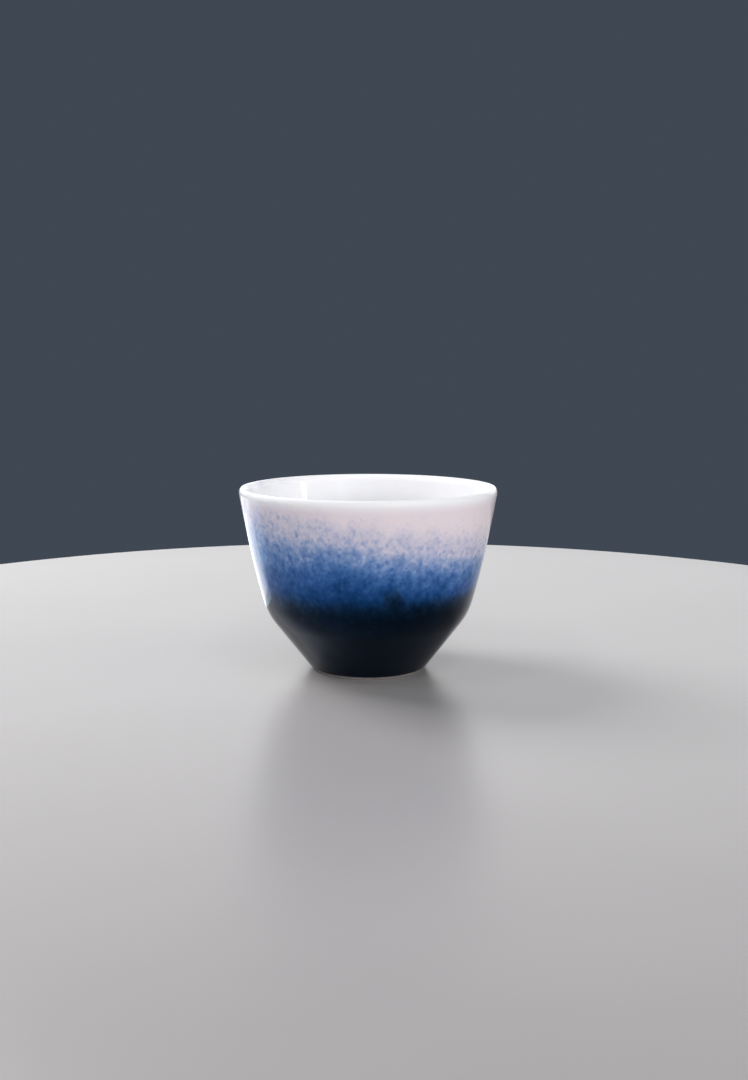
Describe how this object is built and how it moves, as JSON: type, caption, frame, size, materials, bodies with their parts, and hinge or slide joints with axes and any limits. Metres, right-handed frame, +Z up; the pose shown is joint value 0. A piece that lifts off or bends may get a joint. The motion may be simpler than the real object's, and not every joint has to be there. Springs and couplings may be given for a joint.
{
  "type": "teacup",
  "caption": "Handleless porcelain teacup: steep flared wall over a conical base, soft rounded lip, cobalt and navy glaze under a white band, bare foot ring.",
  "frame": {"origin": "on the cup's axis, in the plane of the foot ring's standing face", "axes": "+Z up along the cup's axis towards the mouth; the cup is a body of revolution, so +X and +Y are any two level directions at right angles"},
  "size_m": [0.08, 0.08, 0.0574],
  "materials": {
    "fired_clay": "matt bisque-like porcelain body, hidden under the glaze",
    "bare_foot_clay": "bare fired porcelain, dry and slightly sandy, greyed where it stands",
    "white_lining_glaze": "clear glossy white glaze",
    "lip_glaze": "thick glossy white glaze, rounded over the lip",
    "speckled_white_glaze": "glossy warm white glaze with fine grey-blue speckles",
    "cobalt_glaze": "glossy mottled cobalt glaze, finely streaked downwards",
    "navy_glaze": "deep glossy navy glaze, nearly black",
    "base_glaze": "clear glossy white glaze"
  },
  "bodies": {
    "root": {"bowl_body": "fired_clay", "foot_ring": "bare_foot_clay", "inner_glaze": "white_lining_glaze", "rim_glaze": "lip_glaze", "upper_glaze": "speckled_white_glaze", "cobalt_glaze": "cobalt_glaze", "navy_glaze": "navy_glaze", "base_glaze": "base_glaze"}
  },
  "joints": []
}
